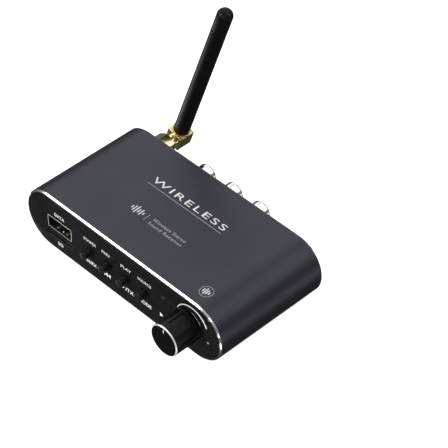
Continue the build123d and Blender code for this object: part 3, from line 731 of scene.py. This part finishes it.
def build_back_screws():
    """Four low cross-headed screws. Their heads stay hidden behind the case's outline."""
    low, high = box_mm("back_panel_screws")
    head, shank, proud, point = 2.1, 1.15, 0.6, 1.0
    arm, slit = 1.1, 0.25
    cross = [
        (arm, slit), (slit, slit), (slit, arm), (-slit, arm), (-slit, slit), (-arm, slit),
        (-arm, -slit), (-slit, -slit), (-slit, -arm), (slit, -arm), (slit, -slit), (arm, -slit),
    ]
    length = back_y - low.y
    profile = [(0, 0), (point, shank), (length, shank), (length, 0)]
    spots = [(x, z) for x in (low.x + head, high.x - head) for z in (low.z + head, high.z - head)]
    for number, (x, z) in enumerate(spots, 1):
        recess = [(x + u, z + v) for u, v in cross]
        piece = plate(
            f"back_screw_head_{number}", "case", circle(x, z, head, 48), [recess],
            back_y, proud, 0.25, screw_black,
        )
        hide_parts("back_panel_screws")
        stem = lathe(
            f"back_screw_shank_{number}", "case", profile, (x, low.y, z), Y_AXIS, screw_black, 24,
        )


build_case()
build_usb_shell()
build_front_panel()
build_back_panel()
build_back_screws()

# ---- Front controls ----------------------------------------------------------------------


def build_buttons():
    """Round plungers with a flange behind the panel."""
    stem, nose, flange, flange_thick = 1.7, 0.35, 2.3, 0.8
    for name, spot in zip(buttons, button_spots):
        low, high = box_mm(f"{name}_button")
        length = high.y - low.y
        flange_at = length - flange_thick
        profile = rounded([
            (0, 0), (0, stem, nose), (flange_at, stem), (flange_at, flange),
            (length, flange), (length, 0),
        ], steps=6, closed=False)
        origin = (spot.x, low.y, spot.z)
        piece = lathe(f"{name}_key", f"{name}_button", profile, origin, Y_AXIS, moulded_black, 64)
        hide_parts(f"{name}_button")


def build_knob():
    """Fluted black knob with a bright turned front edge and a spun face."""
    radius = (knob_high.x - knob_low.x) / 2
    length = knob_high.y - knob_low.y
    flutes, width, depth, start, end, edge = 10, 2.6, 0.45, 2.8, 10.2, 0.06
    pitch = math.tau / flutes
    first = math.radians(85)
    half = (width / 2 - edge) / radius
    steep = edge / radius
    land = pitch - 2 * half - 2 * steep
    floor_steps, land_steps = 10, 8
    angles = []
    for flute in range(flutes):
        floor_start = first + flute * pitch - half
        land_start = first + flute * pitch + half + steep
        angles += [floor_start + 2 * half * i / floor_steps for i in range(floor_steps + 1)]
        angles += [land_start + land * i / land_steps for i in range(land_steps + 1)]

    def fluted(along, reach, angle):
        if reach < radius - 1e-3 or not start + 1e-4 < along < end - 1e-4:
            return reach
        nearest = round((angle - first) / pitch) * pitch + first
        inside = abs(angle - nearest) <= half + 1e-4
        return reach - depth if inside else reach

    ring, sunk, back_edge = 0.42, 0.03, 0.3
    hollow, hollow_depth, bore, cap = 5.0, 1.9, 3.0, 1.7
    profile = [(sunk, 0.0), (sunk, radius - ring)]
    profile += [(0.0, radius - ring + 0.05), (ring - 0.05, radius - 0.03), (ring, radius)]
    profile += [(start, radius), (start + edge, radius), (end - edge, radius), (end, radius)]
    profile += [(length - back_edge, radius), (length, radius - back_edge), (length, hollow)]
    profile += [(length - hollow_depth, hollow), (length - hollow_depth, bore), (cap, bore), (cap, 0.0)]
    face_and_ring = [1, 2, 2, 2]
    bands = face_and_ring + [0] * (len(profile) - 1 - len(face_and_ring))
    origin = (knob_middle.x, knob_low.y, knob_middle.z)
    materials = [knob_body_black, knob_face_black, knob_ring]
    piece = lathe(
        "volume_dial", "volume_knob", profile, origin, Y_AXIS, materials,
        bands=bands, shape=fluted, angles=angles,
    )
    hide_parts("volume_knob")
    knob_face = face((knob_middle.x, knob_low.y + sunk, knob_middle.z), (1, 0, 0), (0, 0, 1))
    pointer = Print("knob_pointer", "volume_knob", knob_face, legend_white, "knob_black")
    pointer_width, pointer_length = 0.32, 1.7
    pointer.bar(0, radius - ring - 1.6, pointer_width, pointer_length)
    pointer.finish()


build_buttons()
build_knob()

# ---- Rear jacks --------------------------------------------------------------------------


def build_jacks():
    """Phono barrels with a collar, a rolled edge and a seam on top; the tip's rounding, its front face
    and the seam carry painted shade.
    """
    barrel, collar, flange, inner = 4.2, 4.4, 4.7, 3.85
    flange_thick, mouth, mouth_depth, groove = 1.4, 3.45, 0.3, 0.07
    seam_depth, seam_edge, seam_angle, seam_half = 0.12, 0.02, math.radians(90), 0.04
    for name in jacks:
        low, high = box_mm(f"rca_{name}_shell")
        spot = (low + high) / 2
        length = high.y - low.y
        collar_end = back_y - low.y + 0.3
        seam_start, seam_end = length - 3.1, length - 1.3

        def seam_painted_shade(along, reach, angle):
            off = abs((angle - seam_angle + math.pi) % math.tau - math.pi)
            cut = seam_start < along < seam_end and reach > 4.0 and off < seam_half
            return reach - seam_depth if cut else reach

        profile = rounded([
            (0, inner), (0, flange, 0.1), (flange_thick, flange, 0.1), (flange_thick, collar),
            (collar_end, collar, 0.06), (collar_end, barrel),
            (seam_start, barrel), (seam_start + seam_edge, barrel),
            (seam_end - seam_edge, barrel), (seam_end, barrel),
            (length - 1.05, barrel), (length - 1.0, barrel - groove),
            (length - 0.95, barrel - groove), (length - 0.9, barrel),
            (length, barrel, 0.6), (length, mouth, 0.1),
            (length - mouth_depth, mouth), (length - mouth_depth, inner),
        ], steps=6)
        # The outer rounding and front face of the tip take the darker nickel: painted shade.
        bands = [int(along > length - 0.7 and radius > 3.5) for along, radius in profile]
        edges = [seam_angle + offset for offset in (-0.045, -0.036, 0.036, 0.045)]
        angles = sorted([math.tau * i / 96 for i in range(96)] + edges)
        piece = lathe(
            f"rca_{name}_barrel", "case", profile, (spot.x, low.y, spot.z), Y_AXIS,
            [nickel, nickel_shade_paint], closed=True, bands=bands, shape=seam_painted_shade, angles=angles,
        )
        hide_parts(f"rca_{name}_shell")
        # A dark bar laid along the seam's floor: painted shade.
        seam_floor = face((spot.x, low.y, spot.z + barrel - seam_depth), (1, 0, 0), (0, 1, 0))
        shadow = Print(f"rca_{name}_seam", "case", seam_floor, nickel_shade_paint, "nickel")
        shadow.bar(0, (seam_start + seam_end) / 2, 0.28, seam_end - seam_start)
        shadow.finish()
        node_look(f"rca_{name}_insulator", insulators[name])
        node_look(f"rca_{name}_contact", nickel)


build_jacks()

# ---- Antenna -----------------------------------------------------------------------------


def hexagon(angle, turn, across, corner):
    """Radius of a six-sided nut at an angle, cut back to a turned corner radius."""
    sector = math.pi / 3
    off = (angle - turn) % sector - sector / 2
    return min(across / 2 / math.cos(off), corner)


def build_nut(name, body, node, turn, across, bore, chamfer, material):
    """Six-sided nut whose corners are turned back to a cone at both ends."""
    low, high = box_mm(node)
    spot = (low + high) / 2
    length = high.y - low.y
    corner = across / math.sqrt(3)
    cone_foot = across / 2 - 0.1
    cone_steps, lead_in, tiny = 6, 0.15, 1e-4
    shares = [step / cone_steps for step in range(cone_steps + 1)]
    rows = [(chamfer * share + tiny, share) for share in shares]
    rows += [(length - along, share) for along, share in reversed(rows)]
    profile = [(0.0, bore + lead_in)] + [(along, corner) for along, _ in rows]
    profile += [(length, bore + lead_in), (length - lead_in, bore), (lead_in, bore)]
    corners_at = {round(along, 6): cone_foot + (corner - cone_foot) * share for along, share in rows}

    def six_sided(along, radius, angle):
        if radius < across / 2 - 0.2:
            return radius
        return hexagon(angle, turn, across, corners_at[round(along, 6)])

    piece = lathe(
        name, body, profile, (spot.x, low.y, mid_z), Y_AXIS, material,
        closed=True, shape=six_sided, angles=[turn + math.tau * i / 144 for i in range(144)],
    )
    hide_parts(node)


nut_turn = math.radians(26)
build_nut("coupling_ring", "coupling_nut", "coupling_nut", nut_turn, 8.0, 2.47, 0.5, gold)
build_nut("bulkhead_nut", "case", "socket_nut", 0, 8.0, 3.15, 0.5, gold)


def build_elbow():
    """Square block turned back at its corners, with a neck behind and a cup on top."""
    half, height = 3.65, 7.1
    across = Vector((antenna_up.z, 0, -antenna_up.x))
    placed = Matrix.Translation(antenna_pivot) @ Matrix(
        (across, Y_AXIS, antenna_up)
    ).transposed().to_4x4()
    shaped = bmesh.new()
    bmesh.ops.create_cube(shaped, size=1.0)
    bmesh.ops.scale(shaped, vec=(2 * half, 2 * half, height), verts=shaped.verts)
    bmesh.ops.bevel(shaped, geom=shaped.edges[:], offset=0.3, segments=3, profile=0.6, affect="EDGES")
    corners = [placed @ vertex.co for vertex in shaped.verts]
    faces = [[vertex.index for vertex in polygon.verts] for polygon in shaped.faces]
    shaped.free()
    block = make_object("antenna_elbow_block", corners, faces, [brushed_gold])
    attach(block, "antenna")
    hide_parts("antenna_elbow")
    cup_foot, cup_floor, cup_top = height / 2 - 0.4, height / 2 + 0.02, height / 2 + 0.9
    cup_outer, cup_inner = 3.62, 3.35
    cup = rounded([
        (cup_foot, 3.1), (cup_foot, cup_outer, 0.1), (cup_top, cup_outer, 0.12),
        (cup_top, cup_inner, 0.1), (cup_floor, cup_inner), (cup_floor, 0),
    ], steps=4, closed=False)
    cup_piece = lathe("antenna_cup", "antenna", cup, antenna_pivot, antenna_up, gold, 96)
    neck_start = box_mm("antenna_socket")[1].y + 0.05
    neck_length = antenna_pivot.y - half + 0.4 - neck_start
    neck_radius, neck_flange = 2.4, 3.0
    neck = rounded([
        (0, 0), (0, neck_flange, 0.1), (0.4, neck_flange), (0.4, neck_radius),
        (neck_length, neck_radius), (neck_length, 0),
    ], closed=False)
    neck_piece = lathe(
        "antenna_neck", "antenna", neck, (antenna_pivot.x, neck_start, mid_z), Y_AXIS, gold, 64,
    )
    pin_start = box_mm("antenna_elbow")[0].y
    pin_radius, pin_length = 0.5, 2.1
    pin = rounded([(0, 0), (0, pin_radius, 0.2), (pin_length, pin_radius), (pin_length, 0)], closed=False)
    pin_piece = lathe(
        "antenna_pin", "antenna", pin, (antenna_pivot.x, pin_start, mid_z), Y_AXIS, gold, 24,
    )


def build_sleeve():
    """Rubber sleeve with three ring grooves and a domed tip."""
    start, length, foot, tip, dome = 3.6, 79.0, 3.2, 3.13, 2.6
    grooves_from_tip, groove_depth, groove_half, floor_half = (15.0, 12.9, 10.8), 0.34, 0.3, 0.24
    profile = [(start, 0), (start, foot, 0.15)]
    for distance in grooves_from_tip:
        middle_at = length - distance
        profile += [
            (middle_at - groove_half, tip, 0.08), (middle_at - floor_half, tip - groove_depth, 0.05),
            (middle_at + floor_half, tip - groove_depth, 0.05), (middle_at + groove_half, tip, 0.08),
        ]
    profile += [(length, tip, dome), (length, 0)]
    outline = rounded(profile, steps=12, closed=False)
    piece = lathe("antenna_cover", "antenna", outline, antenna_pivot, antenna_up, rubber, 96)
    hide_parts("antenna_sleeve")


build_elbow()
build_sleeve()

# ---- Carried-over CAD nodes --------------------------------------------------------------

node_finishes = {
    tin: ["card_cover", "module_shield", "volume_nut", "status_light_leads", "power_pin"]
    + [f"{name}_switch_bracket" for name in buttons],
    moulded_black: [
        "usb_tongue", "card_base", "rca_block", "line_jack", "power_jack", "decoder_chip",
        "converter_chip", "volume_wiper", "antenna_lead", "remote_sensor",
    ] + [f"{name}_switch" for name in buttons],
    gold: ["usb_contacts", "antenna_socket", "socket_washer", "antenna_plug"],
    feet_rubber: ["rubber_feet"],
    board_green: ["main_board", "radio_module"],
    bare_aluminium: ["volume_pot", "volume_shaft", "capacitors"],
    copper: ["antenna_core"],
    smoked_lens: ["status_light"],
}
for material, nodes in node_finishes.items():
    for node in nodes:
        node_look(node, material)

# ---- Legends -----------------------------------------------------------------------------


def print_front():
    legend = Print("front_legends", "case", front_face, legend_white, "gloss_black")
    xs = [spot.x for spot in button_spots]
    high, low = button_spots[0].z + 5.1, button_spots[0].z - 5.3
    upper = [("POWER", 0.15, 6.5), ("PREV", -0.95, 4.5), ("PLAY", 0.0, 5.4), ("SOURCE", -0.05, 7.1)]
    for (words, shift, width), x in zip(upper, xs):
        legend.text(words, x + shift, high, 1.3, width, bold=0.005)
    legend.text("ON/RX", xs[0] - 0.2, low, 1.7, 7.0, bold=0.02)
    for tip in (xs[1] - 1.9, xs[1] - 0.4):
        legend.arrow(tip, tip + 1.5, low, 0.95)
    legend.bar(xs[1] - 2.1, low, 0.4, 1.8)
    legend.arrow(xs[2] - 1.2, xs[2] - 2.9, low, 0.95)
    legend.text("/TX", xs[2] + 1.5, low, 1.7, 4.4, bold=0.02)
    legend.text("MODE", xs[3] + 0.1, low, 1.7, 6.4, bold=0.02)
    tongue = middle("usb_tongue")
    legend.text("DATA", tongue.x, mid_z + 5.5, 1.5, 5.2, bold=0.01)
    legend.text("SD", tongue.x - 0.2, mid_z - 8.5, 1.5, 3.0, bold=0.01)
    light = middle("status_light")
    legend.arrow(light.x - 0.2, light.x - 1.9, mid_z - 5.4, 1.0)
    plus_x, plus_z = case_high.x - 6.55, mid_z - 1.9
    legend.bar(plus_x, plus_z, 1.0, 0.3)
    legend.bar(plus_x, plus_z, 0.3, 1.0)
    legend.band(knob_middle.x + 1.75, knob_middle.z + 1.1, 8.0, (0.35, 0.75), 156, 22)
    legend.finish()
    # A thin grey arc round the knob, drawn only over its upper right where light catches it: a painted
    # highlight.
    scale = Print("knob_ring_painted_highlight", "case", front_face, legend_grey, "gloss_black")
    scale.band(knob_middle.x, knob_middle.z, 6.9, (0.2, 0.3), 76, 30)
    scale.finish()


def print_top():
    bold = Print("top_wordmark", "case", top_face, legend_white, "case_finish")
    word_x, word_y = 0.4, case_middle.y + 8.625
    rule_y = word_y - 3.0
    icon_x, icon_y = -13.1, word_y - 15.8
    ring = (37.3, word_y - 27.0)
    bold.text("WIRELESS", word_x, word_y, 3.0, 38.0, bold=0.0, spacing=1.2)
    for index, height in enumerate((1.6, 3.3, 2.4, 1.3)):
        bold.bar(ring[0] - 1.35 + index * 0.9, ring[1], 0.45, height)
    for index, height in enumerate((1.4, 2.9, 4.0, 2.2, 3.2, 1.2)):
        bold.bar(icon_x + index * 1.15, icon_y, 0.45, height)
    bold.finish()
    fine = Print("top_small_marks", "case", top_face, legend_grey, "case_finish")
    fine.bar(word_x + 0.1, rule_y, 38.6, 0.22)
    fine.bar(icon_x + 7.85, icon_y - 0.2, 0.2, 3.7)
    fine.text("Wireless Stereo", icon_x + 18.9, icon_y + 0.7, 1.5, 17.0)
    fine.text("Sound Receiver", icon_x + 19.1, icon_y - 1.7, 1.5, 17.4)
    fine.band(*ring, 2.6, 0.2, 0, 360)
    fine.finish()


def print_back():
    legend = Print("rear_legends", "case", back_face, legend_white, "panel_black")
    for name, words, width in (("coaxial", "COAX", 4.4), ("right", "R", 1.1), ("left", "L", 1.0)):
        spot = middle(f"rca_{name}_shell")
        legend.text(words, -spot.x, mid_z + 6.6, 1.3, width, bold=0.02)
    for node, words, width in (("line_jack", "LINE", 3.8), ("power_jack", "DC 5V", 5.0)):
        legend.text(words, -middle(node).x, mid_z + 5.4, 1.3, width, bold=0.02)
    legend.text("ANT", -antenna_pivot.x, mid_z + 6.6, 1.3, 3.2, bold=0.02)
    legend.finish()


print_front()
print_top()
print_back()

# ---- Studio ------------------------------------------------------------------------------


def add_floor():
    """White table. It stays out of reflections, as a table cut out of a picture does."""
    nodes = Nodes("studio_floor")
    nodes.shader.inputs["Roughness"].default_value = 0.9
    nodes.shader.inputs["Specular IOR Level"].default_value = 0.1
    nodes.shader.inputs["Emission Color"].default_value = (1, 1, 1, 1)
    nodes.shader.inputs["Emission Strength"].default_value = 0.8
    nodes.colours(nodes.noise((0.002, 0.002, 0.002)), [(0.3, (0.88,) * 3), (0.7, (0.9,) * 3)])
    size = 3000
    corners = [(-size, -size, 0), (size, -size, 0), (size, size, 0), (-size, size, 0)]
    floor = make_object("studio_floor", corners, [[0, 1, 2, 3]], [nodes.material])
    floor.visible_glossy = False
    floor.visible_shadow = False


def add_softbox(name, azimuth, elevation, width, height, radiance):
    """Area lamp aimed at the case. Azimuth 0 is in front, 90 to the right, 180 behind."""
    distance = 900
    lamp = bpy.data.lights.new(name, "AREA")
    lamp.shape = "RECTANGLE"
    lamp.size = width * MM
    lamp.size_y = height * MM
    lamp.energy = radiance * math.pi * lamp.size * lamp.size_y
    holder = bpy.data.objects.new(name, lamp)
    bpy.context.scene.collection.objects.link(holder)
    a, e = math.radians(azimuth), math.radians(elevation)
    away = Vector((math.sin(a) * math.cos(e), -math.cos(a) * math.cos(e), math.sin(e)))
    holder.location = (case_middle + away * distance) * MM
    holder.rotation_euler = away.to_track_quat("Z", "Y").to_euler()


def add_world():
    """Pale room overhead that falls away to near black under the table's level."""
    world = bpy.data.worlds.new("studio")
    world.use_nodes = True
    tree = world.node_tree
    background = tree.nodes["Background"]
    background.inputs["Strength"].default_value = 1.0
    place = tree.nodes.new("ShaderNodeTexCoord")
    split = tree.nodes.new("ShaderNodeSeparateXYZ")
    ramp = tree.nodes.new("ShaderNodeValToRGB")
    fill_ramp(ramp, [
        (0.2, (0.05, 0.05, 0.05)), (0.5, (0.15, 0.15, 0.155)), (0.75, (0.36, 0.36, 0.37)),
    ])
    level = tree.nodes.new("ShaderNodeMapRange")
    level.inputs["From Min"].default_value = -1.0
    tree.links.new(place.outputs["Generated"], split.inputs["Vector"])
    tree.links.new(split.outputs["Z"], level.inputs["Value"])
    tree.links.new(level.outputs["Result"], ramp.inputs["Fac"])
    tree.links.new(ramp.outputs["Color"], background.inputs["Color"])
    bpy.context.scene.world = world


def add_camera():
    """The photograph's view: a long lens, from the front right and above."""
    azimuth, elevation = math.radians(45.77), math.radians(43.31)
    distance, lens = 779.8, 169.5
    aim = case_middle + Vector((7.22, 19.41, 0))
    away = Vector((
        math.sin(azimuth) * math.cos(elevation),
        -math.cos(azimuth) * math.cos(elevation),
        math.sin(elevation),
    ))
    camera = bpy.data.cameras.new("camera")
    camera.lens = lens
    camera.sensor_width = 36
    camera.clip_start = 0.01
    camera.clip_end = 20
    holder = bpy.data.objects.new("camera", camera)
    bpy.context.scene.collection.objects.link(holder)
    holder.location = (aim + away * distance) * MM
    holder.rotation_euler = away.to_track_quat("Z", "Y").to_euler()
    bpy.context.scene.camera = holder


add_floor()
add_world()
add_camera()
softboxes = [   # name, azimuth, elevation, width, height, radiance
    ("back_left", 226, 44, 860, 860, 1.05),
    ("front_left", -38, 33, 640, 500, 4.5),
    ("right_back", 134, 46, 760, 700, 1.1),
    ("right_low", 120, -16, 500, 360, 1.1),
    ("front_right", 19, 24, 70, 70, 40.0),
    ("glint_middle", 40, -11, 70, 90, 16.0),
    ("left_low", -84, -40, 240, 420, 3.0),
    ("glint_low", 44, -40, 240, 200, 7.0),
]
for softbox in softboxes:
    add_softbox(*softbox)
bpy.context.scene.view_settings.view_transform = "Standard"
